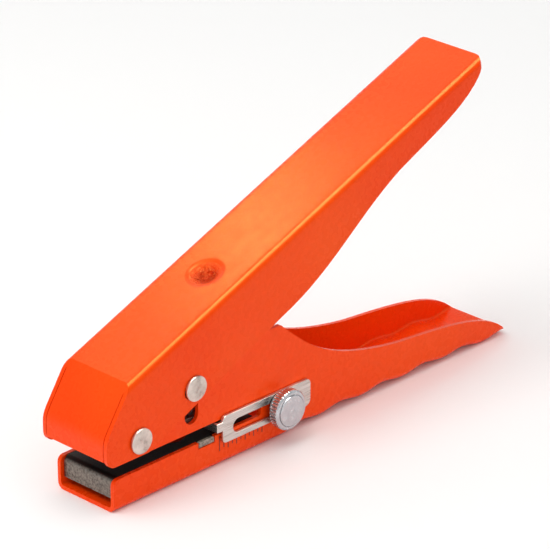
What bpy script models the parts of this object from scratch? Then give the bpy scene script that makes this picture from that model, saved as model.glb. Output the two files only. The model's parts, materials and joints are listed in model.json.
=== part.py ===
"""Hand punch plier for thin sheet and edging strip.

A folded sheet-steel frame carries a die plate in its lower jaw and a guided
round punch in its upper jaw. A folded lever over the frame drives the punch
through a cross pin. A slotted gauge plate on the near side sets the distance
from the hole to the edge of the work.

Frame of reference, in millimetres until the last step: +X runs from the punch
back towards the handles, +Z is up, -Y is the side with the gauge. The origin
is on the punch axis, on the flat underside of the lower jaw.
"""

import math

import bmesh
import bpy
from mathutils import Matrix, Vector

MM = 0.001

# --- sheet and fits -----------------------------------------------------------
SHEET = 1.5             # folded sheet of frame and lever
BEND_R = 2.5            # outer radius of their long bends
SEAT_GAP = 0.3          # gap between faces that touch
RUN_GAP = 0.3           # radial gap of a pin in its hole

# --- lower frame --------------------------------------------------------------
FRAME_WIDTH = 27.0      # outside of the two walls
JAW_FRONT = -35.5
JAW_HEIGHT = 11.8       # top of the lower jaw's walls
THROAT_HEIGHT = 5.1     # open height between the jaws
THROAT_END = 32.4
SHOULDER_X = 42.0       # rear end of the upper jaw's walls
SHOULDER_Z = 42.0
FRAME_END = 157.0
GRIP_START = 42.0       # where the wavy grip begins in the floor
WAVE_FIRST = 61.5       # first low crest of the finger waves
WAVE_PITCH = 21.0
WAVE_AMPLITUDE = 0.65
GRIP_LIFT = 1.5         # mean height of the waves over the jaw's underside

# --- pivot and punch ----------------------------------------------------------
PIVOT_X = -24.9
PIVOT_Z = 23.6
PIVOT_EYE_R = 6.7       # round front of the upper jaw about the pivot
PIN_REST_Z = 33.9       # drive pin above the underside, lever open
SHANK_R = 2.8           # pivot rivet
SLEEVE_WALL = 0.9       # spacer on the pivot rivet
PIN_R = 2.2             # drive pin
HEAD_R = 4.5            # heads of both
HEAD_H = 1.1
CLOSING_DEG = 20.0      # full travel of the lever
PUNCH_R = 7.5
PUNCH_TOP = 40.0
PUNCH_TIP = 17.7        # cutting edge when open
DIE_CLEARANCE = 0.15    # radial, punch to die

# --- guide inside the upper jaw -----------------------------------------------
BRACKET_SHEET = 1.5
BRACKET_LOW_RISE = 4.0  # height of its side flanges
BRACKET_END = 33.5
BUSH_WALL = 1.3
BUSH_HEIGHT = 4.0

# --- die plate ----------------------------------------------------------------
DIE_SHEET = 2.0
DIE_FRONT = -34.2
DIE_REAR = 30.0
DIE_FLAP_BOTTOM = 4.2
LUG_START = 3.3
LUG_LENGTH = 7.1

# --- lever --------------------------------------------------------------------
LEVER_DEG = 21.6        # slope of its top over the jaw
LEVER_END_X = 139.9     # rear end of the top
LEVER_END_Z = 111.6
LEVER_CORNER_R = 4.0    # rear corners in plan
NOSE_X = -39.8
NOSE_BOTTOM = 17.9      # lower edge of the side walls
NOSE_CORNER_R = 3.6
FLAP_BOTTOM = 20.3
TOP_FRONT_X = -28.5     # where the top folds down into the flap
DIMPLE_X = 20.0
DIMPLE_R = 7.75
DIMPLE_DEPTH = 3.0

# --- return spring ------------------------------------------------------------
COIL_R = 6.6            # to the middle of the wire
WIRE_R = 0.7
COIL_TURNS = 6.5
POST_X = 26.5
POST_SHANK_R = 2.2
POST_HEIGHT = 3.0

# --- gauge --------------------------------------------------------------------
GAUGE_SHEET = 1.2
GAUGE_FRONT = 13.0      # front edge of the plate, gauge at rest
GAUGE_LENGTH = 41.8
GAUGE_HEIGHT = 10.0
GAUGE_MID_Z = 13.4
STUD_Z = 13.0
GAUGE_SLOT_HEIGHT = 5.1
GAUGE_SLOT_START = 17.8
GAUGE_SLOT_END = 51.0
TAB_FRONT = 10.3        # face of the stop tab that the work touches
TAB_HEIGHT = 3.2
TAB_REACH = 7.5         # how far the tab enters the throat
STUD_X = 40.2
STUD_R = 2.1
WASHER_R = 5.8
WASHER_THICKNESS = 0.8
NUT_R = 7.2
NUT_THICKNESS = 3.9
NUT_FACE_R = 5.3
NUT_FACE_RISE = 0.4

# --- derived from the values above --------------------------------------------
THROAT_TOP = JAW_HEIGHT + THROAT_HEIGHT
FRAME_HALF = FRAME_WIDTH / 2
FRAME_INNER = FRAME_HALF - SHEET
LEVER_INNER = FRAME_HALF + SEAT_GAP
LEVER_HALF = LEVER_INNER + SHEET
LEVER_SLOPE = math.radians(LEVER_DEG)
PIVOT = Vector((PIVOT_X, 0.0, PIVOT_Z))
BUSH_R = PIN_R + RUN_GAP + 0.3
SLOT_R = BUSH_R + RUN_GAP
ARM_DEG = math.degrees(math.atan2(PIN_REST_Z - PIVOT_Z, -PIVOT_X))
PIN_LOW_Z = PIVOT_Z - PIVOT_X * math.tan(math.radians(ARM_DEG - CLOSING_DEG))
PIN_SHIFT = -PIVOT_X * (1 / math.cos(math.radians(ARM_DEG))
                        - 1 / math.cos(math.radians(ARM_DEG - CLOSING_DEG)))
LEVER_SLOT_R = PIN_R + 0.55
BRACKET_HALF = FRAME_INNER - SEAT_GAP
BRACKET_FLOOR = THROAT_TOP + SEAT_GAP + 0.1
BRACKET_TOP = BRACKET_FLOOR + BRACKET_SHEET
BUSH_BORE = PUNCH_R + RUN_GAP
BUSH_FLANGE_R = BRACKET_HALF - BRACKET_SHEET - SEAT_GAP - 0.1
DIE_HALF = FRAME_INNER - SEAT_GAP
GAUGE_INNER_Y = -FRAME_HALF - SEAT_GAP
GAUGE_OUTER_Y = GAUGE_INNER_Y - GAUGE_SHEET
WASHER_Y = GAUGE_OUTER_Y - SEAT_GAP
NUT_BACK_Y = WASHER_Y - WASHER_THICKNESS - SEAT_GAP


# --- scene helpers ------------------------------------------------------------

for old in list(bpy.data.objects):
    bpy.data.objects.remove(old, do_unlink=True)

parts = bpy.data.collections.new("hand_punch_plier")
cutters = bpy.data.collections.new("cutters")
bpy.context.scene.collection.children.link(parts)
bpy.context.scene.collection.children.link(cutters)


def material(name, rgb, roughness, metallic):
    """Principled material of one finish."""
    mat = bpy.data.materials.new(name)
    mat.use_nodes = True
    shader = mat.node_tree.nodes["Principled BSDF"]
    shader.inputs["Base Color"].default_value = (*rgb, 1.0)
    shader.inputs["Roughness"].default_value = roughness
    shader.inputs["Metallic"].default_value = metallic
    return mat


ORANGE = ((0.90, 0.09, 0.02), 0.38, 0.0)
ORANGE_LEVER = ((0.93, 0.11, 0.02), 0.36, 0.0)
NICKEL = ((0.72, 0.69, 0.66), 0.30, 1.0)
BRIGHT_ZINC = ((0.66, 0.67, 0.70), 0.22, 1.0)
DARK_STEEL = ((0.20, 0.18, 0.17), 0.55, 1.0)
BARE_STEEL = ((0.45, 0.44, 0.43), 0.40, 1.0)
TOOL_STEEL = ((0.34, 0.34, 0.35), 0.28, 1.0)


def add(name, mesh, finish=None, collection=None):
    """Object of a mesh in millimetres, scaled to metres and given its finish."""
    mesh.transform(Matrix.Scale(MM, 4))
    obj = bpy.data.objects.new(name, mesh)
    (collection or parts).objects.link(obj)
    if finish:
        mesh.materials.append(material(name + "_finish", *finish))
    return obj


def cutter(name, mesh):
    """Object that only shapes others."""
    obj = add(name, mesh, collection=cutters)
    obj.hide_render = True
    obj.display_type = 'WIRE'
    return obj


def boolean(obj, operation, tool):
    """Cut, join or trim an object with a cutter."""
    mod = obj.modifiers.new(tool.name, 'BOOLEAN')
    mod.operation = operation
    mod.solver = 'EXACT'
    mod.object = tool


def pivot_at(obj, point):
    """Put an object's origin on its joint's axis, its shape left in place."""
    place = Vector(point) * MM
    obj.data.transform(Matrix.Translation(-place))
    obj.location = place


def smooth(obj, degrees=35.0):
    """Smooth shading with sharp edges kept."""
    obj.data.shade_smooth()
    obj.data.set_sharp_from_angle(angle=math.radians(degrees))


# --- outline helpers, all in (x, z) -------------------------------------------

def arc(cx, cz, r, start_deg, end_deg, steps):
    """Points on an arc, both ends included."""
    angles = [math.radians(start_deg + (end_deg - start_deg) * i / steps) for i in range(steps + 1)]
    return [(cx + r * math.cos(a), cz + r * math.sin(a)) for a in angles]


def bezier(p0, p1, p2, p3, steps):
    """Points on a cubic curve, the first one left out."""
    points = []
    for i in range(1, steps + 1):
        t = i / steps
        weights = ((1 - t) ** 3, 3 * t * (1 - t) ** 2, 3 * t * t * (1 - t), t ** 3)
        points.append(tuple(sum(w * p[k] for w, p in zip(weights, (p0, p1, p2, p3))) for k in (0, 1)))
    return points


def fillet(before, corner, after, r, steps=4):
    """Round one corner between two straight stretches."""
    c = Vector(corner)
    a = (Vector(before) - c).normalized()
    b = (Vector(after) - c).normalized()
    half = a.angle(b) / 2
    centre = c + (a + b).normalized() * (r / math.sin(half))
    start = c + a * (r / math.tan(half))
    end = c + b * (r / math.tan(half))
    s = start - centre
    turn = s.angle_signed(end - centre)
    points = []
    for i in range(steps + 1):
        angle = -turn * i / steps
        cos, sin = math.cos(angle), math.sin(angle)
        points.append((centre.x + cos * s.x - sin * s.y, centre.y + sin * s.x + cos * s.y))
    return points


def rounded(corners):
    """Closed outline from (x, z, radius) corners."""
    points = []
    for i, (x, z, r) in enumerate(corners):
        before = corners[i - 1][:2]
        after = corners[(i + 1) % len(corners)][:2]
        points += fillet(before, (x, z), after, r) if r else [(x, z)]
    return points


def stadium(x0, z0, x1, z1, r, steps=8):
    """Outline of a slot whose round ends are centred on two points."""
    lean = math.degrees(math.atan2(z1 - z0, x1 - x0))
    return arc(x1, z1, r, lean - 90, lean + 90, steps) + arc(x0, z0, r, lean + 90, lean + 270, steps)


# --- mesh helpers, in millimetres ---------------------------------------------

def prism(name, outline, y0, y1):
    """Flat outline in the XZ plane, extruded from y0 to y1."""
    curve = bpy.data.curves.new(name, 'CURVE')
    curve.dimensions = '2D'
    curve.fill_mode = 'BOTH'
    curve.extrude = abs(y1 - y0) / 2
    spline = curve.splines.new('POLY')
    spline.points.add(len(outline) - 1)
    for point, (x, z) in zip(spline.points, outline):
        point.co = (x, z, 0.0, 1.0)
    spline.use_cyclic_u = True
    return mesh_of_curve(name, curve, Matrix.Translation((0, (y0 + y1) / 2, 0))
                         @ Matrix.Rotation(math.radians(90), 4, 'X'))


def mesh_of_curve(name, curve, place):
    """Closed mesh of a curve, with its caps welded on."""
    obj = bpy.data.objects.new(name, curve)
    bpy.context.scene.collection.objects.link(obj)
    bpy.context.view_layer.update()
    source = obj.evaluated_get(bpy.context.evaluated_depsgraph_get())
    mesh = bpy.data.meshes.new_from_object(source)
    bpy.data.objects.remove(obj, do_unlink=True)
    bm = bmesh.new()
    bm.from_mesh(mesh)
    bmesh.ops.remove_doubles(bm, verts=bm.verts, dist=0.0001)
    bmesh.ops.recalc_face_normals(bm, faces=bm.faces)
    bm.to_mesh(mesh)
    bm.free()
    mesh.transform(place)
    return mesh


def turned(name, profile, steps=40):
    """Solid of revolution about +Z from an (r, z) profile that starts and ends on the axis."""
    bm = bmesh.new()
    verts = [bm.verts.new((r, 0.0, z)) for r, z in profile]
    edges = [bm.edges.new(pair) for pair in zip(verts, verts[1:])]
    bmesh.ops.spin(bm, geom=verts + edges, axis=(0, 0, 1), cent=(0, 0, 0),
                   angle=math.radians(360), steps=steps)
    bmesh.ops.remove_doubles(bm, verts=bm.verts, dist=0.0001)
    bmesh.ops.recalc_face_normals(bm, faces=bm.faces)
    mesh = bpy.data.meshes.new(name)
    bm.to_mesh(mesh)
    bm.free()
    return mesh


def sleeve(name, bore, outer, z0, z1, steps=40):
    """Plain tube about +Z."""
    bm = bmesh.new()
    ring = [(bore, z0), (outer, z0), (outer, z1), (bore, z1)]
    verts = [bm.verts.new((r, 0.0, z)) for r, z in ring]
    edges = [bm.edges.new((verts[i], verts[(i + 1) % 4])) for i in range(4)]
    bmesh.ops.spin(bm, geom=verts + edges, axis=(0, 0, 1), cent=(0, 0, 0),
                   angle=math.radians(360), steps=steps)
    bmesh.ops.remove_doubles(bm, verts=bm.verts, dist=0.0001)
    bmesh.ops.recalc_face_normals(bm, faces=bm.faces)
    mesh = bpy.data.meshes.new(name)
    bm.to_mesh(mesh)
    bm.free()
    return mesh


def across(mesh, x, z):
    """Lay a mesh made about +Z along +Y, its axis through (x, z)."""
    mesh.transform(Matrix.Translation((x, 0, z)) @ Matrix.Rotation(math.radians(-90), 4, 'X'))
    return mesh


def pin_cutter(name, x, z, r, y0, y1):
    """Round hole along Y."""
    profile = [(0, y0), (r, y0), (r, y1), (0, y1)]
    return cutter(name, across(turned(name, profile), x, z))


def sheet(name, stations, section, place, reverse=True):
    """Outer face of a folded sheet, from place(station, section point)."""
    nx, ny = len(stations) - 1, len(section) - 1
    bm = bmesh.new()
    bmesh.ops.create_grid(bm, x_segments=nx, y_segments=ny, size=0.5)
    for vert in bm.verts:
        i = round((vert.co.x + 0.5) * nx)
        j = round((vert.co.y + 0.5) * ny)
        vert.co = place(stations[i], section[j])
    if reverse:
        bmesh.ops.reverse_faces(bm, faces=bm.faces)
    mesh = bpy.data.meshes.new(name)
    bm.to_mesh(mesh)
    bm.free()
    return mesh


def fold(obj, thickness):
    """Thickness of a folded sheet, on the inside of its outer face."""
    mod = obj.modifiers.new("thickness", 'SOLIDIFY')
    mod.thickness = thickness * MM
    mod.offset = -1.0
    mod.use_even_offset = True


def channel_section(half, rise, r, steps=4):
    """Outer face of a U channel, open upwards, as (y, height over the floor)."""
    left = [(-half, rise)] + arc(-half + r, r, r, 180, 270, steps)
    right = [(-y, h) for y, h in reversed(left)]
    return left + right


# --- heights ------------------------------------------------------------------

def ease(t):
    """Smooth step from 0 to 1."""
    t = min(max(t, 0.0), 1.0)
    return t * t * (3 - 2 * t)


def floor_z(x):
    """Underside of the frame: flat under the jaws, then finger waves that end on the ground."""
    start = ease((x - GRIP_START) / (WAVE_FIRST - GRIP_START - 5))
    last_crest = WAVE_FIRST + 4 * WAVE_PITCH
    drop = ease((x - last_crest + WAVE_PITCH) / WAVE_PITCH)
    mean = GRIP_LIFT + (WAVE_AMPLITUDE - GRIP_LIFT) * drop
    return start * (mean - WAVE_AMPLITUDE * math.cos(2 * math.pi * (x - WAVE_FIRST) / WAVE_PITCH))


def lever_top_z(x):
    """Top face of the lever."""
    return LEVER_END_Z - (LEVER_END_X - x) * math.tan(LEVER_SLOPE)


# --- lower frame --------------------------------------------------------------

def frame_outline():
    """Side view of the frame's walls, with throat, lug notch and shoulder."""
    notch_floor = JAW_HEIGHT - DIE_SHEET - SEAT_GAP
    notch_front = LUG_START - SEAT_GAP
    notch_rear = LUG_START + LUG_LENGTH + SEAT_GAP
    below = -3.0
    jaw = fillet((JAW_FRONT, below), (JAW_FRONT, JAW_HEIGHT), (notch_front, JAW_HEIGHT), 2.2)
    notch = [(notch_front, JAW_HEIGHT), (notch_front, notch_floor),
             (notch_rear, notch_floor), (notch_rear, JAW_HEIGHT)]
    throat = (fillet((notch_rear, JAW_HEIGHT), (THROAT_END, JAW_HEIGHT), (THROAT_END, THROAT_TOP), 1.2)
              + fillet((THROAT_END, JAW_HEIGHT), (THROAT_END, THROAT_TOP), (0, THROAT_TOP), 1.2))
    eye_r = PIVOT_Z - THROAT_TOP
    eye = arc(PIVOT_X, PIVOT_Z, eye_r, -90, -235, 10)
    top_front = (-8.0, SHOULDER_Z)
    shoulder = (SHOULDER_X, SHOULDER_Z)
    dip_end = (100.0, JAW_HEIGHT + 4.0)
    dip = ((56.0, 29.0), (66.0, 20.5))
    tail = ((130.0, 13.2), (148.0, 11.5))
    tip = (FRAME_END, SHEET)
    crown = fillet(eye[-1], top_front, shoulder, 3.0) + fillet(top_front, shoulder, dip[0], 1.5)
    rear = bezier(crown[-1], dip[0], dip[1], dip_end, 14) + bezier(dip_end, tail[0], tail[1], tip, 14)
    return ([(JAW_FRONT, below)] + jaw + notch + throat + eye + crown + rear + [(FRAME_END, below)])


def make_lower_frame():
    """Channel with a wavy grip, trimmed to its side view and bored for the pins."""
    wave_steps = 48
    start = GRIP_START - 1.0
    end = FRAME_END + 3.0
    stations = [JAW_FRONT - 4.0] + [start + (end - start) * i / wave_steps for i in range(wave_steps + 1)]
    section = channel_section(FRAME_HALF, SHOULDER_Z + 4.0, BEND_R)
    mesh = sheet("lower_frame", stations, section,
                 lambda x, s: (x, s[0], (floor_z(x) if s[1] < 2 * BEND_R else 0.0) + s[1]))
    obj = add("lower_frame", mesh, ORANGE)
    fold(obj, SHEET)
    side = cutter("frame_side", prism("frame_side", frame_outline(), -FRAME_HALF - 3, FRAME_HALF + 3))
    boolean(obj, 'INTERSECT', side)
    slot = stadium(0, PIN_LOW_Z - 1.6, 0, PIN_REST_Z + 0.5, SLOT_R)
    boolean(obj, 'DIFFERENCE', cutter("pin_slots", prism("pin_slots", slot, -FRAME_HALF - 3, FRAME_HALF + 3)))
    boolean(obj, 'DIFFERENCE', pin_cutter("pivot_holes", PIVOT_X, PIVOT_Z, SHANK_R + RUN_GAP,
                                          -FRAME_HALF - 3, FRAME_HALF + 3))
    boolean(obj, 'DIFFERENCE', pin_cutter("stud_hole", STUD_X, STUD_Z, STUD_R + RUN_GAP,
                                          -FRAME_HALF - 3, 0))
    smooth(obj)
    return obj


# --- lever --------------------------------------------------------------------

def lever_outline():
    """Side view of the lever's walls, a little over its top so that the top stays whole."""
    over = 3.0
    slope = Vector((math.cos(LEVER_SLOPE), math.sin(LEVER_SLOPE)))
    normal = Vector((-slope.y, slope.x))
    end_top = Vector((LEVER_END_X, LEVER_END_Z))
    fold_top = Vector((TOP_FRONT_X, lever_top_z(TOP_FRONT_X)))
    nose_slope = (fold_top - Vector((NOSE_X + 0.7, FLAP_BOTTOM + 8.9))).normalized()
    nose_knee = (NOSE_X, FLAP_BOTTOM + 7.6)
    heel = (PIVOT_X + 4.2, NOSE_BOTTOM)
    nose = fillet(nose_knee, (NOSE_X, NOSE_BOTTOM), heel, NOSE_CORNER_R)
    waist_start = (40.0, 45.7)
    waist_end = (98.0, 82.0)
    end_low = end_top - normal * 0.8
    lower = (fillet((NOSE_X, NOSE_BOTTOM), heel, waist_start, 6.0)
             + [waist_start]
             + bezier(waist_start, (65.0, 55.0), (76.5, 70.5), waist_end, 14)
             + bezier(waist_end, (118.0, 91.5), (136.5, 98.0), tuple(end_low), 12))
    upper = [tuple(end_top + normal * over), tuple(fold_top + nose_slope * over)]
    front = fillet(upper[-1], nose_knee, (NOSE_X, NOSE_BOTTOM), 9.0)
    return nose + lower + upper + front


def flap_path():
    """Outer face of the front flap, from inside the top plate down to its lower edge."""
    sunk = 0.1
    start = (TOP_FRONT_X + 8.0, lever_top_z(TOP_FRONT_X + 8.0) - sunk)
    corner = (TOP_FRONT_X, lever_top_z(TOP_FRONT_X) - sunk)
    knee = (NOSE_X, FLAP_BOTTOM + 7.6)
    bottom = (NOSE_X, FLAP_BOTTOM)
    return [start] + fillet(start, corner, knee, 3.0) + fillet(corner, knee, bottom, 9.0, 6) + [bottom]


def bell(r, depth, rim):
    """Half profile of a pressed dimple, from its rim at height rim down to its bottom on the axis."""
    points = []
    for i in range(11):
        share = 1 - i / 10
        points.append((r * share, rim - (depth + rim) * (1 + math.cos(math.pi * share)) / 2))
    return points


def make_lever():
    """Inverted channel, trimmed to its side view, with a front flap and a pressed dimple."""
    slope = Vector((math.cos(LEVER_SLOPE), 0.0, math.sin(LEVER_SLOPE)))
    down = Vector((slope.z, 0.0, -slope.x))
    end_top = Vector((LEVER_END_X, 0.0, LEVER_END_Z))
    length = (LEVER_END_X - TOP_FRONT_X) / math.cos(LEVER_SLOPE)
    section = channel_section(LEVER_HALF, 60.0, BEND_R)
    mesh = sheet("lever", [-length - 25.0, 4.0], section,
                 lambda u, s: end_top + slope * u + down * s[1] + Vector((0, s[0], 0)), reverse=False)
    obj = add("lever", mesh, ORANGE_LEVER)
    fold(obj, SHEET)
    boolean(obj, 'INTERSECT', cutter("lever_side", prism("lever_side", lever_outline(), -LEVER_HALF - 3,
                                                         LEVER_HALF + 3)))
    plan = rounded([(-length - 20, -LEVER_HALF - 2, 0), (0.0, -LEVER_HALF - 0.0, LEVER_CORNER_R),
                    (0.0, LEVER_HALF + 0.0, LEVER_CORNER_R), (-length - 20, LEVER_HALF + 2, 0)])
    plan_mesh = prism("lever_plan", plan, -70, 70)
    plan_mesh.transform(Matrix.Translation(end_top) @ Matrix.Rotation(-LEVER_SLOPE, 4, 'Y')
                        @ Matrix.Rotation(math.radians(-90), 4, 'X'))
    boolean(obj, 'INTERSECT', cutter("lever_plan", plan_mesh))
    flap = add("flap_blank", sheet("flap_blank", flap_path(), [-FRAME_HALF, FRAME_HALF],
                                   lambda p, y: (p[0], y, p[1])), collection=cutters)
    flap.hide_render = True
    flap.display_type = 'WIRE'
    fold(flap, SHEET)
    boolean(obj, 'UNION', flap)
    place = Matrix.Translation((DIMPLE_X, 0.0, lever_top_z(DIMPLE_X))) @ Matrix.Rotation(-LEVER_SLOPE, 4, 'Y')
    boss_mesh = turned("dimple_boss", [(0.0, -0.7)] + bell(DIMPLE_R + 1.0, DIMPLE_DEPTH + SHEET, -0.7), 32)
    boss_mesh.transform(place)
    boolean(obj, 'UNION', cutter("dimple_boss", boss_mesh))
    bowl_mesh = turned("dimple_bowl", [(0.0, 3.0), (DIMPLE_R, 3.0)] + bell(DIMPLE_R, DIMPLE_DEPTH, 0.05), 32)
    bowl_mesh.transform(place)
    boolean(obj, 'DIFFERENCE', cutter("dimple_bowl", bowl_mesh))
    boolean(obj, 'DIFFERENCE', pin_cutter("lever_pivot", PIVOT_X, PIVOT_Z, SHANK_R + RUN_GAP,
                                          -LEVER_HALF - 3, LEVER_HALF + 3))
    arm = Vector((PIVOT_X, PIVOT_Z)) - Vector((0.0, PIN_REST_Z))
    slot_end = Vector((0.0, PIN_REST_Z)) + arm.normalized() * PIN_SHIFT
    slot = stadium(slot_end.x, slot_end.y, 0.0, PIN_REST_Z, LEVER_SLOT_R)
    boolean(obj, 'DIFFERENCE', cutter("lever_slots", prism("lever_slots", slot, -LEVER_HALF - 3,
                                                           LEVER_HALF + 3)))
    smooth(obj)
    pivot_at(obj, PIVOT)
    return obj


# --- pins, sleeves and the punch ----------------------------------------------

def headed_pin(name, x, z, r, finish):
    """Rivet with a flat head outside each lever wall."""
    inner = LEVER_HALF + SEAT_GAP
    outer = inner + HEAD_H
    crown = 0.4
    profile = [(0, -outer), (HEAD_R - crown, -outer), (HEAD_R, -outer + crown), (HEAD_R, -inner),
               (r, -inner), (r, inner), (HEAD_R, inner), (HEAD_R, outer - crown),
               (HEAD_R - crown, outer), (0, outer)]
    obj = add(name, across(turned(name, profile), x, z), finish)
    smooth(obj)
    pivot_at(obj, (x, 0, z))
    return obj


def make_pivot_sleeve():
    """Spacer on the pivot rivet between the bracket's ears."""
    reach = BRACKET_HALF - BRACKET_SHEET - SEAT_GAP
    mesh = across(sleeve("pivot_sleeve", SHANK_R + RUN_GAP, SHANK_R + RUN_GAP + SLEEVE_WALL, -reach, reach),
                  PIVOT_X, PIVOT_Z)
    obj = add("pivot_sleeve", mesh, BARE_STEEL)
    smooth(obj)
    return obj


def make_slide_bush(name, side):
    """Sleeve on the drive pin that runs in a frame slot, from the punch to the wall's outer face."""
    near, far = PUNCH_R + SEAT_GAP, FRAME_HALF
    span = (near, far) if side > 0 else (-far, -near)
    obj = add(name, across(sleeve(name, PIN_R + RUN_GAP, BUSH_R + 0.1, span[0], span[1], 28),
                           0.0, PIN_REST_Z), BARE_STEEL)
    smooth(obj)
    pivot_at(obj, (0, 0, PIN_REST_Z))
    return obj


def make_punch():
    """Round punch with a dished cutting face and a cross hole for the drive pin."""
    dish = 1.2
    chamfer = 0.8
    profile = [(0, PUNCH_TIP + dish), (PUNCH_R - 0.6, PUNCH_TIP), (PUNCH_R, PUNCH_TIP),
               (PUNCH_R, PUNCH_TOP - chamfer), (PUNCH_R - chamfer, PUNCH_TOP), (0, PUNCH_TOP)]
    obj = add("punch", turned("punch", profile, 48), TOOL_STEEL)
    boolean(obj, 'DIFFERENCE', pin_cutter("punch_cross_hole", 0.0, PIN_REST_Z, PIN_R + RUN_GAP,
                                          -PUNCH_R - 3, PUNCH_R + 3))
    smooth(obj)
    return obj


def make_punch_bush():
    """Flanged guide bush in the bracket's floor."""
    seat = BRACKET_TOP + SEAT_GAP
    sleeve_r = BUSH_BORE + BUSH_WALL
    bm_profile = [(BUSH_BORE, BRACKET_FLOOR), (sleeve_r, BRACKET_FLOOR), (sleeve_r, seat),
                  (BUSH_FLANGE_R, seat), (BUSH_FLANGE_R, BRACKET_FLOOR + BUSH_HEIGHT),
                  (BUSH_BORE, BRACKET_FLOOR + BUSH_HEIGHT), (BUSH_BORE, BRACKET_FLOOR)]
    obj = add("punch_bush", turned("punch_bush", bm_profile, 48), TOOL_STEEL)
    smooth(obj)
    return obj


def make_guide_bracket():
    """Folded floor of the upper jaw: ears on the pivot rivet, low flanges welded to the walls."""
    section = channel_section(BRACKET_HALF, 20.0, BRACKET_SHEET + 0.8, 3)
    front = PIVOT_X - PIVOT_EYE_R + 0.3
    mesh = sheet("guide_bracket", [front - 4, BRACKET_END + 4], section,
                 lambda x, s: (x, s[0], BRACKET_FLOOR + s[1]))
    obj = add("guide_bracket", mesh, BARE_STEEL)
    fold(obj, BRACKET_SHEET)
    low = BRACKET_FLOOR + BRACKET_LOW_RISE
    ear_top = PIVOT_Z + SHANK_R + 2.6
    outline = rounded([(front, BRACKET_FLOOR - 3, 0), (front, ear_top, 3.0),
                       (PIVOT_X + 6.0, ear_top, 3.0), (PIVOT_X + 12.0, low, 2.0),
                       (BRACKET_END, low, 1.0), (BRACKET_END, BRACKET_FLOOR - 3, 0)][::-1])
    boolean(obj, 'INTERSECT', cutter("bracket_side", prism("bracket_side", outline, -20, 20)))
    boolean(obj, 'DIFFERENCE', pin_cutter("bracket_pivot", PIVOT_X, PIVOT_Z, SHANK_R + RUN_GAP, -20, 20))
    for name, x, r in (("bush_hole", 0.0, BUSH_BORE + BUSH_WALL + SEAT_GAP),
                       ("post_hole", POST_X, POST_SHANK_R + SEAT_GAP)):
        hole = turned(name, [(0, 0), (r, 0), (r, BRACKET_TOP + 1), (0, BRACKET_TOP + 1)], 36)
        hole.transform(Matrix.Translation((x, 0, 0)))
        boolean(obj, 'DIFFERENCE', cutter(name, hole))
    smooth(obj)
    return obj


# --- die plate ----------------------------------------------------------------

def make_die_plate():
    """Flat plate let into the lower jaw, its front folded down and its lugs in the wall notches."""
    top = JAW_HEIGHT
    rear = (DIE_REAR, top)
    corner = (DIE_FRONT, top)
    bottom = (DIE_FRONT, DIE_FLAP_BOTTOM)
    path = [rear] + fillet(rear, corner, bottom, DIE_SHEET + 0.4, 5) + [bottom]
    mesh = sheet("die_plate", path, [-DIE_HALF, DIE_HALF], lambda p, y: (p[0], y, p[1]))
    obj = add("die_plate", mesh, DARK_STEEL)
    fold(obj, DIE_SHEET)
    lug = rounded([(LUG_START, top - DIE_SHEET + 0.05, 0), (LUG_START + LUG_LENGTH, top - DIE_SHEET + 0.05, 0),
                   (LUG_START + LUG_LENGTH, top - 0.05, 0.6), (LUG_START, top - 0.05, 0.6)])
    reach = FRAME_HALF - 0.1
    for name, y0, y1 in (("lug_near", -reach, -DIE_HALF + 1.5), ("lug_far", DIE_HALF - 1.5, reach)):
        boolean(obj, 'UNION', cutter(name, prism(name, lug, y0, y1)))
    hole_r = PUNCH_R + DIE_CLEARANCE
    hole = turned("die_hole", [(0, 0), (hole_r, 0), (hole_r, top + 2), (0, top + 2)], 48)
    boolean(obj, 'DIFFERENCE', cutter("die_hole", hole))
    smooth(obj)
    return obj


# --- return spring ------------------------------------------------------------

def spring_axis(t):
    """Point and tangent on the bent centre line, from the post up to the dimple's boss."""
    slope_in = Vector((math.sin(LEVER_SLOPE), 0.0, -math.cos(LEVER_SLOPE)))
    boss = Vector((DIMPLE_X, 0.0, lever_top_z(DIMPLE_X)))
    top = boss + slope_in * (SHEET + WIRE_R + 2 * SEAT_GAP)
    bend = top + slope_in * ((POST_X - top.x) / slope_in.x)
    foot = Vector((POST_X, 0.0, BRACKET_TOP + SEAT_GAP + WIRE_R))
    point = foot * (1 - t) ** 2 + bend * (2 * t * (1 - t)) + top * t * t
    tangent = (bend - foot) * (2 * (1 - t)) + (top - bend) * (2 * t)
    return point, tangent.normalized()


def make_return_spring():
    """Compression spring wound round its bent centre line."""
    per_turn = 16
    count = int(COIL_TURNS * per_turn)
    points = []
    for i in range(count + 1):
        point, tangent = spring_axis(i / count)
        side = Vector((0, 1, 0))
        other = tangent.cross(side)
        angle = 2 * math.pi * i / per_turn
        points.append(point + (side * math.cos(angle) + other * math.sin(angle)) * COIL_R)
    curve = bpy.data.curves.new("return_spring", 'CURVE')
    curve.dimensions = '3D'
    curve.bevel_depth = WIRE_R
    curve.bevel_resolution = 1
    curve.use_fill_caps = True
    spline = curve.splines.new('POLY')
    spline.points.add(len(points) - 1)
    for target, point in zip(spline.points, points):
        target.co = (*point, 1.0)
    obj = add("return_spring", mesh_of_curve("return_spring", curve, Matrix.Identity(4)), BARE_STEEL)
    smooth(obj, 60)
    return obj


def make_spring_post():
    """Stud in the bracket's floor that centres the spring."""
    post_r = COIL_R - WIRE_R - 0.5
    seat = BRACKET_TOP + SEAT_GAP
    profile = [(0, BRACKET_FLOOR), (POST_SHANK_R, BRACKET_FLOOR), (POST_SHANK_R, seat), (post_r, seat),
               (post_r, seat + POST_HEIGHT - 1), (post_r - 1, seat + POST_HEIGHT), (0, seat + POST_HEIGHT)]
    mesh = turned("spring_post", profile, 28)
    mesh.transform(Matrix.Translation((POST_X, 0, 0)))
    obj = add("spring_post", mesh, BARE_STEEL)
    smooth(obj)
    return obj


# --- gauge --------------------------------------------------------------------

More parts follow.
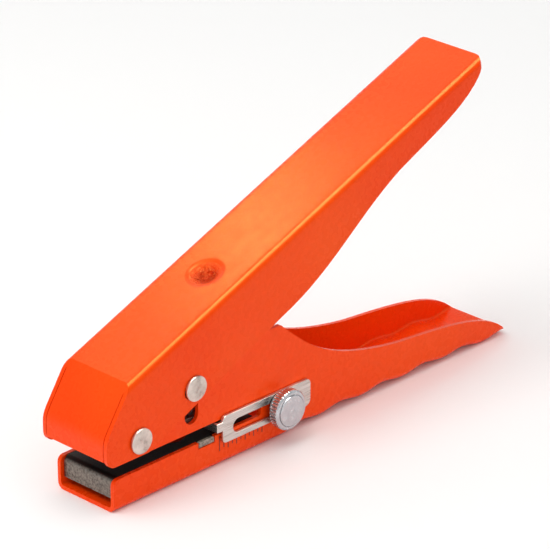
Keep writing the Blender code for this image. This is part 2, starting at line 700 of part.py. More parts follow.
def make_gauge_plate():
    """Slotted plate with a tongue folded into the throat as a stop."""
    low = GAUGE_MID_Z - GAUGE_HEIGHT / 2
    high = GAUGE_MID_Z + GAUGE_HEIGHT / 2
    rear = GAUGE_FRONT + GAUGE_LENGTH
    tab_low = THROAT_TOP - 0.5 - TAB_HEIGHT
    tab_high = THROAT_TOP - 0.5
    outline = rounded([(GAUGE_FRONT, low, 1.6), (rear, low, 2.4), (rear, high, 1.8), (GAUGE_FRONT, high, 1.8),
                       (GAUGE_FRONT, tab_high, 0), (TAB_FRONT, tab_high, 0), (TAB_FRONT, tab_low, 0),
                       (GAUGE_FRONT, tab_low, 0)])
    obj = add("gauge_plate", prism("gauge_plate", outline, GAUGE_OUTER_Y, GAUGE_INNER_Y), NICKEL)
    tab = rounded([(TAB_FRONT, tab_low, 0), (TAB_FRONT + GAUGE_SHEET, tab_low, 0),
                   (TAB_FRONT + GAUGE_SHEET, tab_high, 0), (TAB_FRONT, tab_high, 0)])
    boolean(obj, 'UNION', cutter("gauge_tab", prism("gauge_tab", tab, GAUGE_INNER_Y - 0.5,
                                                    GAUGE_INNER_Y + TAB_REACH)))
    half_slot = GAUGE_SLOT_HEIGHT / 2
    slot = stadium(GAUGE_SLOT_START + half_slot, STUD_Z, GAUGE_SLOT_END - half_slot,
                   STUD_Z, half_slot)
    boolean(obj, 'DIFFERENCE', cutter("gauge_slot", prism("gauge_slot", slot, GAUGE_OUTER_Y - 2,
                                                          GAUGE_INNER_Y + 2)))
    return obj


def make_gauge_stud():
    """Headed stud through the near wall, held by its head inside the frame."""
    head_y = -FRAME_INNER + SEAT_GAP
    tip_y = NUT_BACK_Y - NUT_THICKNESS + 1.5
    profile = [(0, tip_y), (STUD_R, tip_y), (STUD_R, head_y), (STUD_R + 1.7, head_y),
               (STUD_R + 1.7, head_y + 1.4), (0, head_y + 1.4)]
    obj = add("gauge_stud", across(turned("gauge_stud", profile, 28), STUD_X, STUD_Z), BARE_STEEL)
    smooth(obj)
    return obj


def make_clamp_washer():
    """Washer between the gauge plate and the thumb nut."""
    mesh = across(sleeve("clamp_washer", STUD_R + RUN_GAP, WASHER_R, WASHER_Y - WASHER_THICKNESS, WASHER_Y),
                  STUD_X, STUD_Z)
    obj = add("clamp_washer", mesh, BRIGHT_ZINC)
    smooth(obj)
    return obj


def make_thumb_nut():
    """Round thumb nut with a blind bore and a raised face."""
    front_y = NUT_BACK_Y - NUT_THICKNESS
    edge = 0.5
    bore = STUD_R + RUN_GAP
    bore_end = front_y + 1.5 - SEAT_GAP
    profile = [(0, front_y - NUT_FACE_RISE), (NUT_FACE_R, front_y - NUT_FACE_RISE),
               (NUT_FACE_R + 0.2, front_y), (NUT_R - edge, front_y), (NUT_R, front_y + edge),
               (NUT_R, NUT_BACK_Y - edge), (NUT_R - edge, NUT_BACK_Y), (bore, NUT_BACK_Y),
               (bore, bore_end), (0, bore_end)]
    obj = add("thumb_nut", across(turned("thumb_nut", profile, 48), STUD_X, STUD_Z), BRIGHT_ZINC)
    smooth(obj)
    pivot_at(obj, (STUD_X, NUT_BACK_Y, STUD_Z))
    return obj


# --- assembly -----------------------------------------------------------------

make_lower_frame()
make_lever()
headed_pin("pivot_rivet", PIVOT_X, PIVOT_Z, SHANK_R, NICKEL)
headed_pin("drive_pin", 0.0, PIN_REST_Z, PIN_R, NICKEL)
make_pivot_sleeve()
make_slide_bush("slide_bush_near", -1)
make_slide_bush("slide_bush_far", 1)
make_punch()
make_punch_bush()
make_guide_bracket()
make_die_plate()
make_return_spring()
make_spring_post()
make_gauge_plate()
make_gauge_stud()
make_clamp_washer()
make_thumb_nut()
print("hand punch plier:", len(parts.objects), "pieces")
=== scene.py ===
# Hand punch plier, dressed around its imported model: powder-coated steel, nickel, zinc and bare steel.
# Lengths are in millimetres in the settings and turned to metres where a mesh is made.

import json
import math

import bmesh
import bpy
import numpy as np
from mathutils import Matrix, Vector


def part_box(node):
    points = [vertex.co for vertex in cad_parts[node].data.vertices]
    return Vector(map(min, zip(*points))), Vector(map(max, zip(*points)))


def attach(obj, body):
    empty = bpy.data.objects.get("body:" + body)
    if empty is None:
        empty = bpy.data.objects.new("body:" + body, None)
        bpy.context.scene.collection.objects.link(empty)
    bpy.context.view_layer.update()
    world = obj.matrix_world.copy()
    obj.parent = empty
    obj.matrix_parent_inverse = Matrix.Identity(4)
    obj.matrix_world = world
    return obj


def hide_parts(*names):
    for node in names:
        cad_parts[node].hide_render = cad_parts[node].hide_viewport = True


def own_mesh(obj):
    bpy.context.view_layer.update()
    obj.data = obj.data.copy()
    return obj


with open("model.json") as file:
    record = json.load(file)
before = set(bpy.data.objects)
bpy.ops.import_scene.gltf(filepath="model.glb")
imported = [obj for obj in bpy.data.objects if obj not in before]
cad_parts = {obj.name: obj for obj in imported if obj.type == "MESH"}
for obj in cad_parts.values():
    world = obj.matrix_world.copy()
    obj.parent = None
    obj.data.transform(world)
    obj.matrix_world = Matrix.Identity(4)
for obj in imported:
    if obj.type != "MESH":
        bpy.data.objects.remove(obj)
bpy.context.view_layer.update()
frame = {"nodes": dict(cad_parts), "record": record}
nodes = frame["nodes"]
mm = 0.001
scene = bpy.context.scene


def linearColour(code):
    # sRGB hex to linear: the sRGB curve, channel by channel
    channels = [int(code[i:i + 2], 16) / 255 for i in (1, 3, 5)]
    return [c / 12.92 if c <= 0.04045 else ((c + 0.055) / 1.055) ** 2.4 for c in channels] + [1.0]


def meshFromGrid(name, points, closeU=False, closeV=False):
    # points[i, j] is a grid of corners in millimetres; each cell becomes a quad, and a closed direction wraps round
    nu, nv = points.shape[:2]
    index = np.arange(nu * nv).reshape(nu, nv)
    if closeU:
        index = np.vstack([index, index[:1]])
    if closeV:
        index = np.hstack([index, index[:, :1]])
    quads = np.stack([index[:-1, :-1], index[1:, :-1], index[1:, 1:], index[:-1, 1:]], axis=-1).reshape(-1, 4)
    mesh = bpy.data.meshes.new(name)
    mesh.from_pydata((points.reshape(-1, 3) * mm).tolist(), [], quads.tolist())
    mesh.validate()
    return mesh


def placeMesh(name, mesh, body, materialSlot, finish, *replaced):
    # seams and poles are welded, faces turned outwards, and the piece rides on its body
    bm = bmesh.new()
    bm.from_mesh(mesh)
    bmesh.ops.remove_doubles(bm, verts=bm.verts, dist=1e-6)
    bmesh.ops.dissolve_degenerate(bm, edges=bm.edges, dist=1e-7)
    bmesh.ops.recalc_face_normals(bm, faces=bm.faces)
    bm.to_mesh(mesh)
    bm.free()
    mesh.shade_smooth()
    mesh.set_sharp_from_angle(angle=math.radians(38))
    mesh.materials.append(finish)
    piece = bpy.data.objects.new(name, mesh)
    scene.collection.objects.link(piece)
    if replaced:
        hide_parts(*replaced)
    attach(piece, body)
    return piece


def turnedAboutY(profile, steps, axisX, axisZ, ripple=None):
    # profile rows are (radius, y); the ring at angle a is (x0 + r sin a, y, z0 + r cos a), and ripple(a) gives the
    # share of r that each row keeps at that angle
    angle = np.linspace(0, 2 * np.pi, steps, endpoint=False)[:, None]
    profile = np.asarray(profile, float)
    radius = profile[None, :, 0] * (np.ones_like(angle) if ripple is None else ripple(angle))
    y = np.broadcast_to(profile[None, :, 1], radius.shape)
    return np.stack([axisX + radius * np.sin(angle), y, axisZ + radius * np.cos(angle)], axis=-1)


def addNode(tree, kind, settings=None, links=None):
    # one node: settings are its properties or input values, links join its inputs to other nodes' outputs;
    # a number in place of a name picks the input by its place
    node = tree.nodes.new(kind)
    for key, value in (settings or {}).items():
        if isinstance(key, str) and hasattr(node, key) and key not in node.inputs:
            setattr(node, key, value)
        else:
            node.inputs[key].default_value = value
    for key, source in (links or {}).items():
        tree.links.new(source, node.inputs[key])
    return node


def newFinish(name, hexColour, roughness, metallic):
    # a new material with its even values on the shader, and the coordinates that its patterns are laid on
    finish = bpy.data.materials.new(name)
    finish.use_nodes = True
    tree = finish.node_tree
    shader = tree.nodes["Principled BSDF"]
    shader.inputs["Base Color"].default_value = linearColour(hexColour)
    shader.inputs["Roughness"].default_value = roughness
    shader.inputs["Metallic"].default_value = metallic
    place = addNode(tree, "ShaderNodeTexCoord").outputs["Object"]
    return finish, tree, shader, place


# Paint settings: cloudScale counts clouds to the metre, peel sizes are in mm. The crumple is the creased inside of the
# dimple, which also gets a painted shade of darker red: their centre and reach, the crumple's depth in mm and its
# folds to the metre; the frame has none, so its reach is idle.
powderCoat = {"dark": "#F83B04", "light": "#FF4A06", "deep": "#D62C04", "roughness": 0.27, "rougher": 0.06,
              "smoother": 0.05, "ior": 1.4, "glossTint": (1.0, 0.46, 0.09, 1.0), "cloudScale": 14.0, "peelSize": 1.3,
              "peelDepth": 0.03, "crumpleAndShadePlace": (0, 0, -1), "crumpleAndShadeReach": 1, "crumpleDepth": 0, "foldScale": 480.0}
# painted light: the lever's copy of the powder is a shade lighter and yellower, for the light that falls on its top
# face
litLeverPaint = {**powderCoat, "light": "#FE500A", "crumpleAndShadePlace": (20.8, 0, 62.0), "crumpleAndShadeReach": 6.0,
              "crumpleDepth": 2.2}


def makePowderCoat(name, settings):
    # orange polyester powder on pressed steel: an even satin film whose slow clouds of tone keep the big faces
    # alive, a fine orange peel in shape and gloss, and a glow of orange in its own highlights because the pigment
    # sits near the face of the film; in the dimple the press has crumpled the sheet, which breaks the light, and its
    # darker red there is a painted shade
    finish, tree, shader, place = newFinish(name, settings["light"], settings["roughness"], 0.0)
    cloud = addNode(tree, "ShaderNodeTexNoise", {"Scale": settings["cloudScale"], "Detail": 2.0, "Roughness": 0.55},
                    {"Vector": place})
    share = addNode(tree, "ShaderNodeMapRange", {"interpolation_type": "SMOOTHSTEP", "From Min": 0.2, "From Max": 0.8},
                    {"Value": cloud.outputs["Fac"]})
    tone = addNode(tree, "ShaderNodeMixRGB",
                   {"Color1": linearColour(settings["dark"]), "Color2": linearColour(settings["light"])},
                   {"Fac": share.outputs["Result"]})
    peel = addNode(tree, "ShaderNodeTexNoise", {"Scale": 0.5 / (settings["peelSize"] * mm), "Detail": 1.0},
                   {"Vector": place})
    gloss = addNode(tree, "ShaderNodeMapRange", {"To Min": settings["roughness"] - settings["smoother"],
                                                 "To Max": settings["roughness"] + settings["rougher"]},
                    {"Value": peel.outputs["Fac"]})
    peelBump = addNode(tree, "ShaderNodeBump", {"Strength": 0.35, "Distance": settings["peelDepth"] * mm},
                       {"Height": peel.outputs["Fac"]})
    # the crumple and the painted dimple shade fade out between 0.45 of their reach and their reach
    reach = addNode(tree, "ShaderNodeVectorMath",
                    {"operation": "DISTANCE", 1: [c * mm for c in settings["crumpleAndShadePlace"]]}, {0: place})
    inside = addNode(tree, "ShaderNodeMapRange", {"From Min": settings["crumpleAndShadeReach"] * 0.45 * mm,
                                                  "From Max": settings["crumpleAndShadeReach"] * mm,
                                                  "To Min": 1.0, "To Max": 0.0}, {"Value": reach.outputs["Value"]})
    fold = addNode(tree, "ShaderNodeTexNoise", {"Scale": settings["foldScale"], "Detail": 2.0, "Distortion": 1.5},
                   {"Vector": place})
    crumple = addNode(tree, "ShaderNodeMath", {"operation": "MULTIPLY"},
                      {0: fold.outputs["Fac"], 1: inside.outputs["Result"]})
    crumpleBump = addNode(tree, "ShaderNodeBump", {"Strength": 1.0, "Distance": settings["crumpleDepth"] * mm},
                          {"Height": crumple.outputs["Value"], "Normal": peelBump.outputs["Normal"]})
    # painted shade: the dimple's inside is mixed towards a darker red where the mask above is full
    deep = addNode(tree, "ShaderNodeMixRGB", {"Color2": linearColour(settings["deep"])},
                   {"Fac": inside.outputs["Result"], "Color1": tone.outputs["Color"]})
    tree.links.new(deep.outputs["Color"], shader.inputs["Base Color"])
    tree.links.new(gloss.outputs["Result"], shader.inputs["Roughness"])
    tree.links.new(crumpleBump.outputs["Normal"], shader.inputs["Normal"])
    shader.inputs["IOR"].default_value = settings["ior"]
    shader.inputs["Specular Tint"].default_value = settings["glossTint"]
    return finish


# Metal settings: grain is its size in mm, and brush draws it out along the axis that has the smallest number.
pinNickel = {"light": "#D8CEC6", "dark": "#A89C94", "roughness": 0.30, "brush": (1, 1, 1), "grain": 3.0}
plateNickel = {"light": "#D6D2CE", "dark": "#B2ACA6", "roughness": 0.28, "brush": (0.08, 1, 2.0), "grain": 0.8}
nutZinc = {"light": "#C6C8CC", "dark": "#B2B5BA", "roughness": 0.20, "brush": (1, 1, 1), "grain": 2.6}
# the die plate's top carries a painted shade: a near-black colour, laid behind the first span in x and within the
# second span in |y|, in mm
dieSteel = {"light": "#B0A69C", "dark": "#565048", "roughness": 0.44, "brush": (1, 1, 1), "grain": 0.8,
            "oiled": "#2A2624", "oiledBehind": (-34.6, -33.4), "oiledWithin": (12.0, 12.6)}
rolledSteel = {"light": "#7A7672", "dark": "#4C4946", "roughness": 0.38, "brush": (0.3, 1, 1), "grain": 1.5}
punchSteel = {"light": "#70727A", "dark": "#4A4C52", "roughness": 0.26, "brush": (1, 1, 0.2), "grain": 1.0}
coilSteel = {"light": "#A4A29E", "dark": "#74726E", "roughness": 0.28, "brush": (1, 1, 1), "grain": 1.5}


def makeBareMetal(name, settings):
    # plated or bare steel: a metal whose tone and gloss follow the grain left by rolling, brushing or turning
    light, dark, roughness = settings["light"], settings["dark"], settings["roughness"]
    finish, tree, shader, place = newFinish(name, light, roughness, 1.0)
    along = addNode(tree, "ShaderNodeMapping", {"Scale": settings["brush"]}, {"Vector": place})
    grain = addNode(tree, "ShaderNodeTexNoise", {"Scale": 1 / (settings["grain"] * mm), "Detail": 3.0,
                                                 "Roughness": 0.55}, {"Vector": along.outputs["Vector"]})
    share = addNode(tree, "ShaderNodeMapRange", {"From Min": 0.28, "From Max": 0.62}, {"Value": grain.outputs["Fac"]})
    tone = addNode(tree, "ShaderNodeMixRGB", {"Color1": linearColour(dark), "Color2": linearColour(light)},
                   {"Fac": share.outputs["Result"]})
    if "oiled" in settings:
        # painted shade: near-black laid on the plate where the throat shades it, behind its bent front (x) and inside
        # its side lugs (|y|)
        split = addNode(tree, "ShaderNodeSeparateXYZ", None, {"Vector": place})
        start, end = settings["oiledBehind"]
        behind = addNode(tree, "ShaderNodeMapRange", {"From Min": start * mm, "From Max": end * mm},
                         {"Value": split.outputs["X"]})
        across = addNode(tree, "ShaderNodeMath", {"operation": "ABSOLUTE"}, {0: split.outputs["Y"]})
        start, end = settings["oiledWithin"]
        within = addNode(tree, "ShaderNodeMapRange", {"From Min": start * mm, "From Max": end * mm, "To Min": 1.0,
                                                      "To Max": 0.0}, {"Value": across.outputs["Value"]})
        both = addNode(tree, "ShaderNodeMath", {"operation": "MULTIPLY"},
                       {0: behind.outputs["Result"], 1: within.outputs["Result"]})
        tone = addNode(tree, "ShaderNodeMixRGB", {"Color2": linearColour(settings["oiled"])},
                       {"Fac": both.outputs["Value"], "Color1": tone.outputs["Color"]})
    rough = addNode(tree, "ShaderNodeMapRange", {"To Min": roughness - 0.06, "To Max": roughness + 0.08},
                    {"Value": share.outputs["Result"]})
    bump = addNode(tree, "ShaderNodeBump", {"Strength": 0.25, "Distance": 0.02 * mm}, {"Height": grain.outputs["Fac"]})
    tree.links.new(tone.outputs["Color"], shader.inputs["Base Color"])
    tree.links.new(rough.outputs["Result"], shader.inputs["Roughness"])
    tree.links.new(bump.outputs["Normal"], shader.inputs["Normal"])
    return finish


tickInk = {"light": "#7A2010", "dark": "#4A1006", "roughness": 0.6, "patchScale": 1100.0}


def makeTickInk(name, settings):
    # pad-printed ink: matt, and a little thinner in places, so the paint under it warms it
    finish, tree, shader, place = newFinish(name, settings["dark"], settings["roughness"], 0.0)
    thin = addNode(tree, "ShaderNodeTexNoise", {"Scale": settings["patchScale"], "Detail": 1.0}, {"Vector": place})
    tone = addNode(tree, "ShaderNodeMixRGB",
                   {"Color1": linearColour(settings["dark"]), "Color2": linearColour(settings["light"])},
                   {"Fac": thin.outputs["Fac"]})
    tree.links.new(tone.outputs["Color"], shader.inputs["Base Color"])
    return finish


frameCoat = makePowderCoat("orangePowderCoatFrame", powderCoat)
litLeverCoat = makePowderCoat("orangePowderCoatLeverLit", litLeverPaint)  # the same powder, painted a shade lighter and yellower for the light on its top
nickelPins = makeBareMetal("nickelPlatedHeads", pinNickel)  # warm, cloudy with handling
nickelPlate = makeBareMetal("brushedNickelPlate", plateNickel)  # pale streaks along the plate
brightZinc = makeBareMetal("brightZincTurned", nutZinc)  # cool and nearly mirror bright
greySteel = makeBareMetal("grainyGreySteel", dieSteel)  # coarse speckle on the bent front, with a painted shade of near-black on top
plainSteel = makeBareMetal("plainRolledSteel", rolledSteel)  # dull grey of the hidden pressings
toolSteel = makeBareMetal("groundToolSteel", punchSteel)  # bluish, ground round
springWire = makeBareMetal("drawnSpringWire", coilSteel)  # smooth drawn grey
tickPaint = makeTickInk("darkTickInk", tickInk)
print("finishes made:", len(bpy.data.materials))


# Pressed and turned steel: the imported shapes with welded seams, rounded edges and even shading.
pressed = {  # node: finish, edge round in mm
    "lower_frame": (frameCoat, 0.35), "lever": (litLeverCoat, 0.35), "die_plate": (greySteel, 0.2),
    "gauge_plate": (nickelPlate, 0.25), "guide_bracket": (plainSteel, 0.2), "pivot_sleeve": (plainSteel, 0.1),
    "slide_bush_near": (plainSteel, 0.1), "slide_bush_far": (plainSteel, 0.1), "punch": (toolSteel, 0.08),
    "punch_bush": (toolSteel, 0.12), "spring_post": (plainSteel, 0.12), "gauge_stud": (plainSteel, 0.12),
    "clamp_washer": (brightZinc, 0.12)}
edgeWork = {"weld": 0.01, "flatWithin": 0.5, "sharpFrom": 34, "segments": 3}  # mm, degrees, degrees, count
bodyOf = {node: body for body, names in frame["record"]["behaviour"]["bodies"].items() for node in names}


def dressNode(nodeName, finish, width):
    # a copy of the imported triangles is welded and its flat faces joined; Bevel and Weighted Normal finish it
    words = nodeName.split("_")
    name = words[0] + "".join(word.capitalize() for word in words[1:]) + "Finished"
    mesh = nodes[nodeName].data.copy()
    mesh.name = name
    bm = bmesh.new()
    bm.from_mesh(mesh)
    bmesh.ops.remove_doubles(bm, verts=bm.verts, dist=edgeWork["weld"] * mm)
    bmesh.ops.dissolve_limit(bm, angle_limit=math.radians(edgeWork["flatWithin"]), verts=bm.verts, edges=bm.edges)
    bm.to_mesh(mesh)
    bm.free()
    mesh.materials.clear()
    mesh.materials.append(finish)
    mesh.shade_smooth()
    mesh.set_sharp_from_angle(angle=math.radians(edgeWork["sharpFrom"]))
    piece = bpy.data.objects.new(name, mesh)
    scene.collection.objects.link(piece)
    bevel = piece.modifiers.new("roundEdges", "BEVEL")
    bevel.width = width * mm
    bevel.segments = edgeWork["segments"]
    bevel.limit_method = "ANGLE"
    bevel.angle_limit = math.radians(edgeWork["sharpFrom"])
    weigh = piece.modifiers.new("evenShading", "WEIGHTED_NORMAL")
    weigh.keep_sharp = False
    weigh.weight = 100  # the large flat faces decide, so no facets show on them
    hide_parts(nodeName)
    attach(piece, bodyOf[nodeName])


for nodeName, (finish, width) in pressed.items():
    dressNode(nodeName, finish, width)
print("pressed steel dressed")


# Rivet heads: slightly crowned, with the small mark that the setting tool leaves off centre.
rivetHead = {"height": 1.1, "crown": 0.28, "edgeRound": 0.3, "markAside": (0.7, -0.5), "markWidth": 0.45,
             "markDepth": 0.16, "pivotShank": 2.8, "driveShank": 2.2, "steps": 72}


def makePin(name, shankRadius, settings, body):
    # profile: crowned head y = outer - crown (r/R)^2, rounded edge, shank, and the same mirrored
    low, high = (np.array(corner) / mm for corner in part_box(name))
    axisX, axisZ = (low[0] + high[0]) / 2, (low[2] + high[2]) / 2
    headRadius, outer = (high[0] - low[0]) / 2, high[1]
    inner = outer - settings["height"]
    r = np.linspace(0, headRadius - settings["edgeRound"], 14)
    cap = np.stack([r, outer - settings["crown"] * (r / headRadius) ** 2], axis=1)
    bend = np.linspace(0, np.pi / 2, 6)[1:]
    rim = np.stack([r[-1] + settings["edgeRound"] * np.sin(bend),
                    cap[-1, 1] - settings["edgeRound"] * (1 - np.cos(bend))], axis=1)
    half = np.vstack([cap, rim, [[headRadius, inner], [shankRadius, inner]]])
    profile = np.vstack([half, half[::-1] * [1, -1]])
    points = turnedAboutY(profile, settings["steps"], axisX, axisZ)
    markX, markZ = axisX + settings["markAside"][0], axisZ + settings["markAside"][1]
    aside = np.hypot(points[..., 0] - markX, points[..., 2] - markZ)
    dent = settings["markDepth"] * np.exp(-(aside / settings["markWidth"]) ** 2)
    faceShare = np.clip((np.abs(points[..., 1]) - inner) / (outer - inner), 0, 1)
    points[..., 1] -= np.sign(points[..., 1]) * dent * faceShare
    placeMesh(name + "Turned", meshFromGrid(name + "Turned", points, closeU=True), body, "nickel_pins", nickelPins,
              name)


makePin("pivot_rivet", rivetHead["pivotShank"], rivetHead, "frame")
makePin("drive_pin", rivetHead["driveShank"], rivetHead, "ram")
print("rivet heads turned")


# Thumb nut: coarse straight knurl between two bevels, with a raised smooth face.
thumbNut = {"teeth": 38, "toothDepth": 0.42, "bevel": 0.55, "faceRadius": 5.55, "faceRise": 0.4,
            "grooveDepth": 0.25, "boreRadius": 2.4, "boreEnd": 1.2}


def makeThumbNut(settings):
    # ring radius is R - depth * (1 - |sin(teeth * a / 2)| ^ 0.8) in the knurled band, and plain elsewhere
    low, high = (np.array(corner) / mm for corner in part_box("thumb_nut"))
    axisX, axisZ = (low[0] + high[0]) / 2, (low[2] + high[2]) / 2
    radius, back, face = (high[0] - low[0]) / 2, high[1], low[1]
    front = face + settings["faceRise"]
    bevel, bore, disc = settings["bevel"], settings["boreRadius"], settings["faceRadius"]
    bend = np.linspace(0, np.pi / 2, 6)
    faceEdge = np.stack([disc - 0.3 + 0.3 * np.cos(bend), front - (front - face) * np.sin(bend)], axis=1)
    faceDome = np.stack([np.linspace(disc - 0.6, 0, 10), np.full(10, face)], axis=1)
    profile = np.vstack([
        [[0, face + settings["boreEnd"]], [bore, face + settings["boreEnd"]], [bore, back],
         [radius - bevel - 0.2, back], [radius - 0.1, back - bevel]],
        np.stack([np.full(9, radius), np.linspace(back - bevel - 0.1, front + bevel + 0.1, 9)], axis=1),
        [[radius - 0.1, front + bevel], [radius - bevel, front + 0.05], [radius - bevel - 0.15, front],
         [disc + 0.25, front], [disc + 0.1, front + settings["grooveDepth"]], [disc, front + settings["grooveDepth"]]],
        faceEdge, faceDome])
    knurled = (np.abs(profile[:, 0] - radius) < 1e-6)[None, :]

    def ripple(angle):
        tooth = settings["toothDepth"] * (1 - np.abs(np.sin(settings["teeth"] * angle / 2)) ** 0.8)
        return 1 - np.where(knurled, tooth / radius, 0)

    points = turnedAboutY(profile, settings["teeth"] * 10, axisX, axisZ, ripple)
    placeMesh("thumbNutKnurled", meshFromGrid("thumbNutKnurled", points, closeU=True), "nut",
              "bright_zinc", brightZinc, "thumb_nut")


makeThumbNut(thumbNut)
print("thumb nut knurled")


# Scale ticks: eleven short inked strokes on the lower jaw, alternately long and short.
ticks = {"first": 12.8, "pitch": 2.0, "count": 11, "width": 0.34, "proud": 0.05, "sunk": 0.02,
         "top": 8.25, "firstTop": 11.0, "longFoot": 5.35, "shortFoot": 6.2}


def makeTicks(settings):
    # tick k is a thin block centred on x = first + k * pitch; its foot alternates between the two lengths
    k = np.arange(settings["count"])
    x = settings["first"] + settings["pitch"] * k
    foot = np.where(k % 2 == 0, settings["longFoot"], settings["shortFoot"])
    top = np.where(k == 0, settings["firstTop"], settings["top"])
    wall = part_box("lower_frame")[0][1] / mm
    sign = np.array([[-1, -1], [1, -1], [1, 1], [-1, 1]])
    xs = x[:, None] + sign[None, :, 0] * settings["width"] / 2
    ys = np.array([wall - settings["proud"], wall + settings["sunk"]])
    corners = np.empty((len(k), 2, 4, 3))
    corners[..., 0] = xs[:, None, :]
    corners[..., 1] = ys[None, :, None]
    corners[..., 2] = np.where(sign[:, 1] < 0, foot[:, None], top[:, None])[:, None, :]
    faces = np.array([[0, 1, 2, 3], [7, 6, 5, 4], [0, 4, 5, 1], [1, 5, 6, 2], [2, 6, 7, 3], [3, 7, 4, 0]])
    every = (faces[None] + 8 * k[:, None, None]).reshape(-1, 4)
    mesh = bpy.data.meshes.new("scaleTicks")
    mesh.from_pydata((corners.reshape(-1, 3) * mm).tolist(), [], every.tolist())
    placeMesh("scaleTicks", mesh, "frame", "orange_frame", tickPaint)


makeTicks(ticks)
print("ticks inked")


# Return spring: wound round a bent centre line between the post and the dimple.
spring = {"turns": 6.5, "coilRadius": 6.6, "wireRadius": 0.7, "foot": (26.5, 19.8), "seat": (20.0, 64.13),
          "seatDepth": 2.8, "leverSlope": 21.6, "stepsPerTurn": 40, "ringSteps": 12, "deadTurns": 0.8}


def makeSpring(settings):
    # centre line: quadratic curve foot, bend, top; the coil turns about it, and its pitch closes at both ends
    slope = math.radians(settings["leverSlope"])
    inward = np.array([math.sin(slope), 0, -math.cos(slope)])
    top = np.array([settings["seat"][0], 0, settings["seat"][1]]) + inward * settings["seatDepth"]
    foot = np.array([settings["foot"][0], 0, settings["foot"][1]])
    bend = top + inward * ((foot[0] - top[0]) / inward[0])
    steps = int(settings["turns"] * settings["stepsPerTurn"]) + 1
    u = np.linspace(0, 1, steps)
    dead = settings["deadTurns"] / settings["turns"]
    # the end turns climb only 0.03 of the way, and a smoothstep share opens the pitch in the middle
    t = np.clip((u - dead) / (1 - 2 * dead), 0, 1)
    t = 0.03 * u + 0.97 * (0.75 * t + 0.25 * t * t * (3 - 2 * t))
    centre = np.outer((1 - t) ** 2, foot) + np.outer(2 * t * (1 - t), bend) + np.outer(t * t, top)
    tangent = np.outer(2 * (1 - t), bend - foot) + np.outer(2 * t, top - bend)
    tangent /= np.linalg.norm(tangent, axis=1, keepdims=True)
    side = np.array([0.0, 1.0, 0.0])
    other = np.cross(tangent, side)
    turn = 2 * np.pi * settings["turns"] * u
    radial = np.cos(turn)[:, None] * side + np.sin(turn)[:, None] * other
    line = centre + settings["coilRadius"] * radial
    along = np.gradient(line, axis=0)
    along /= np.linalg.norm(along, axis=1, keepdims=True)
    across = np.cross(along, radial)
    ring = np.linspace(0, 2 * np.pi, settings["ringSteps"], endpoint=False)
    wire = settings["wireRadius"] * (np.cos(ring)[None, :, None] * radial[:, None, :]
                                     + np.sin(ring)[None, :, None] * across[:, None, :])
    tube = line[:, None, :] + wire
    ends = np.broadcast_to(line[[0, -1], None, :], (2,) + tube.shape[1:])
    points = np.concatenate([ends[:1], tube, ends[1:]], axis=0)
    piece = placeMesh("returnSpringCoil", meshFromGrid("returnSpringCoil", points, closeV=True), "frame",
                      "spring_steel", springWire, "return_spring")
    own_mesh(piece)


makeSpring(spring)
print("spring wound")


# Camera: where it looks from, in degrees and mm, and its lens in mm.
view = {"azimuth": -45.29, "elevation": 24.38, "roll": -0.14, "distance": 1251.05, "target": (20.0, 0.0, 30.0),
        "aside": 23.06, "above": 30.42, "lens": 244.96}


def placeCamera(settings):
    # the eye stands at target + distance * back, moved aside and up without turning
    azimuth, elevation, roll = (math.radians(settings[key]) for key in ("azimuth", "elevation", "roll"))
    back = Vector((math.sin(azimuth) * math.cos(elevation), -math.cos(azimuth) * math.cos(elevation),
                   math.sin(elevation)))
    level = Vector((math.cos(azimuth), math.sin(azimuth), 0))
    upright = (-back).cross(level) * -1
    right = level * math.cos(roll) + upright * math.sin(roll)
    up = upright * math.cos(roll) - level * math.sin(roll)
    eye = Vector(settings["target"]) + back * settings["distance"] + right * settings["aside"] + up * settings["above"]
    camera = bpy.data.objects.new("camera", bpy.data.cameras.new("camera"))
    camera.data.lens = settings["lens"]
    camera.data.sensor_width = 36
    camera.data.clip_start = 0.05
    camera.data.clip_end = 20
    turn = Matrix((right, up, back)).transposed().to_4x4()
    camera.matrix_world = Matrix.Translation(eye * mm) @ turn
    scene.collection.objects.link(camera)
    scene.camera = camera


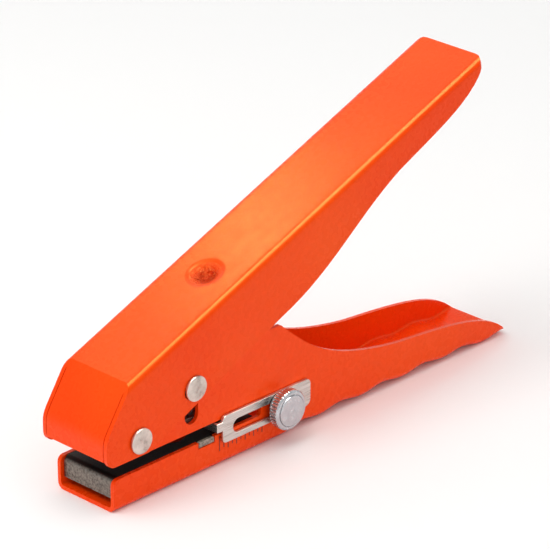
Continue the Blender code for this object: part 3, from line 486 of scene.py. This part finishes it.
stage = {"paper": "#FAFAFA", "paperRoughness": 0.9, "halfWidth": 4000.0, "height": -0.1, "surround": 0.73}
softboxes = {  # place and aim in metres, size in metres, power in watts; a gloss card shows in reflections only
    "overheadSoftbox": {"place": (-0.45, 0.15, 1.0), "aim": (0.05, 0, 0.03), "size": (0.7, 0.7), "power": 5.4,
                        "tint": (1.0, 0.99, 0.97), "onlyGloss": False},
    "sheenCard": {"place": (0.18, 0.36, 0.50), "aim": (0.08, 0, 0.085), "size": (0.36, 0.16), "power": 0.34,
                  "tint": (1.0, 0.85, 0.45), "onlyGloss": True},
    "glowCard": {"place": (0.127, 0.288, 0.408), "aim": (0.042, 0, 0.073), "size": (0.05, 0.04), "power": 0.22,
                 "tint": (1.0, 0.80, 0.30), "onlyGloss": True},
    "bendCard": {"place": (0.145, -0.21, 1.0), "aim": (0.05, 0, 0.08), "size": (0.5, 0.7), "power": 32.0,
                 "tint": (1.0, 0.95, 0.85), "onlyGloss": True}}


def addSoftbox(name, settings):
    light = bpy.data.lights.new(name, "AREA")
    light.shape = "RECTANGLE"
    light.size, light.size_y = settings["size"]
    light.energy = settings["power"]
    light.color = settings["tint"]
    lamp = bpy.data.objects.new(name, light)
    lamp.location = settings["place"]
    lamp.rotation_euler = (Vector(settings["place"]) - Vector(settings["aim"])).to_track_quat("Z", "Y").to_euler()
    lamp.visible_diffuse = not settings["onlyGloss"]
    scene.collection.objects.link(lamp)


def layFloor(settings):
    # a wide sheet of matt white paper, just under the feet of the tool
    finish = newFinish("whitePaper", settings["paper"], settings["paperRoughness"], 0.0)[0]
    half = settings["halfWidth"]
    corners = np.array([[[x, y, settings["height"]] for y in (-half, half)] for x in (-half, half)])
    floor = bpy.data.objects.new("paperFloor", meshFromGrid("paperFloor", corners))
    floor.data.materials.append(finish)
    scene.collection.objects.link(floor)


placeCamera(view)
layFloor(stage)
world = bpy.data.worlds.new("studio")
world.use_nodes = True
surround = world.node_tree.nodes["Background"]
surround.inputs["Color"].default_value = (1, 1, 1, 1)
surround.inputs["Strength"].default_value = stage["surround"]
scene.world = world
for name, settings in softboxes.items():
    addSoftbox(name, settings)
scene.view_settings.view_transform = "Standard"
print("stage set")
